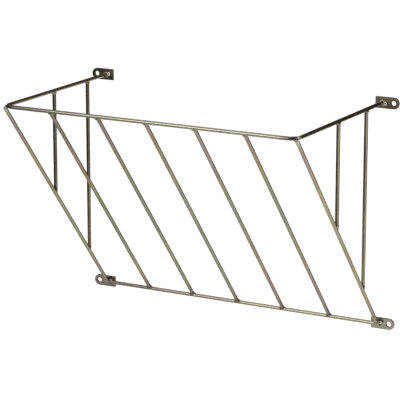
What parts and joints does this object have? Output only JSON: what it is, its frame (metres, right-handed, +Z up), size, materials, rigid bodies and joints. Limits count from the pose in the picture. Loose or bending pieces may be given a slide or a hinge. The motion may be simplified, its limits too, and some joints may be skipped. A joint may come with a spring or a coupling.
{
  "type": "hay rack",
  "caption": "Wall hay rack of welded round rod: sloping front bars under a U-bent top rail, short side uprights and flat screw lugs at the wall.",
  "frame": {"origin": "centre of the four screw holes, in the wall plane that the lugs' rear faces lie on", "axes": "+X along the wall to the viewer's right, +Y into the wall, +Z up; the rack stands out towards -Y"},
  "size_m": [0.9, 0.505, 0.61],
  "materials": {
    "plated_rod": "zinc plated and passivated, satin, uneven olive to pinkish brown",
    "plated_lug": "zinc plated and passivated, satin grey-olive",
    "plated_weld": "zinc plated weld bead, lumpy and satin"
  },
  "bodies": {
    "root": {"top_rail": "plated_rod", "bottom_rail": "plated_rod", "end_bar_left": "plated_rod", "end_bar_right": "plated_rod", "front_bar_1": "plated_rod", "front_bar_2": "plated_rod", "front_bar_3": "plated_rod", "front_bar_4": "plated_rod", "front_bar_5": "plated_rod", "front_upright_left": "plated_rod", "front_upright_right": "plated_rod", "rear_upright_left": "plated_rod", "rear_upright_right": "plated_rod", "upper_lug_left": "plated_lug", "upper_lug_right": "plated_lug", "lower_lug_left": "plated_lug", "lower_lug_right": "plated_lug", "end_bar_left_top_weld": "plated_weld", "end_bar_right_top_weld": "plated_weld", "front_bar_1_top_weld": "plated_weld", "front_bar_2_top_weld": "plated_weld", "front_bar_3_top_weld": "plated_weld", "front_bar_4_top_weld": "plated_weld", "front_bar_5_top_weld": "plated_weld", "front_bar_1_foot_weld": "plated_weld", "front_bar_2_foot_weld": "plated_weld", "front_bar_3_foot_weld": "plated_weld", "front_bar_4_foot_weld": "plated_weld", "front_bar_5_foot_weld": "plated_weld", "lower_corner_weld_left": "plated_weld", "lower_corner_weld_right": "plated_weld", "front_upright_left_top_weld": "plated_weld", "front_upright_left_foot_weld": "plated_weld", "front_upright_right_top_weld": "plated_weld", "front_upright_right_foot_weld": "plated_weld", "rear_upright_left_top_weld": "plated_weld", "rear_upright_left_foot_weld": "plated_weld", "rear_upright_right_top_weld": "plated_weld", "rear_upright_right_foot_weld": "plated_weld", "upper_lug_weld_left": "plated_weld", "upper_lug_weld_right": "plated_weld"}
  },
  "joints": []
}
